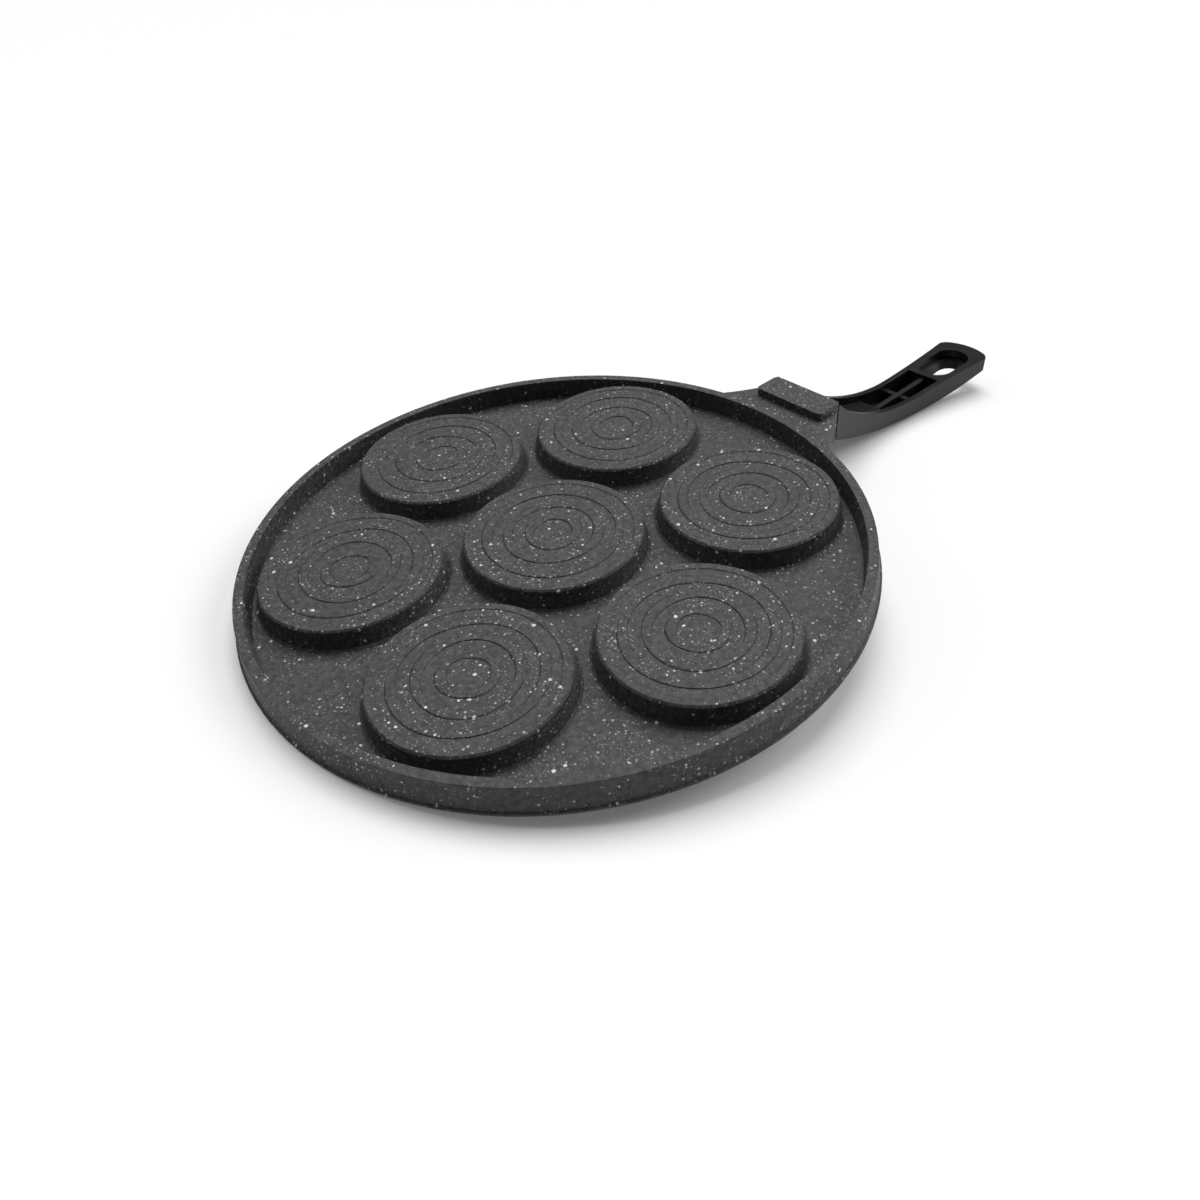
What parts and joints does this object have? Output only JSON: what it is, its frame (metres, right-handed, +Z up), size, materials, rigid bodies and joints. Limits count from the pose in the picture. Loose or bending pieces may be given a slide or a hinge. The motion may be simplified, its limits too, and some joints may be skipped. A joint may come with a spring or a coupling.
{
  "type": "pancake pan",
  "caption": "Cast pancake pan with round wells, lying base side up on its mouth edge and grip, with a flared bracket and a hollow curved moulded grip that ends in a hanging eye",
  "frame": {"origin": "on the floor, under the centre of the whole object's box", "axes": "+Z up; +X along the grip, from the pan towards the hanging eye; +Y completes a right-handed frame. The pan lies base side up, as in the picture."},
  "size_m": [0.4372, 0.26, 0.0387],
  "materials": {
    "stone_coating": "speckled non-stick coating on cast aluminium, fine matt grain",
    "grip_phenolic": "compression-moulded phenolic, satin"
  },
  "bodies": {
    "root": {"pan_casting": "stone_coating", "handle_grip": "grip_phenolic"}
  },
  "joints": []
}
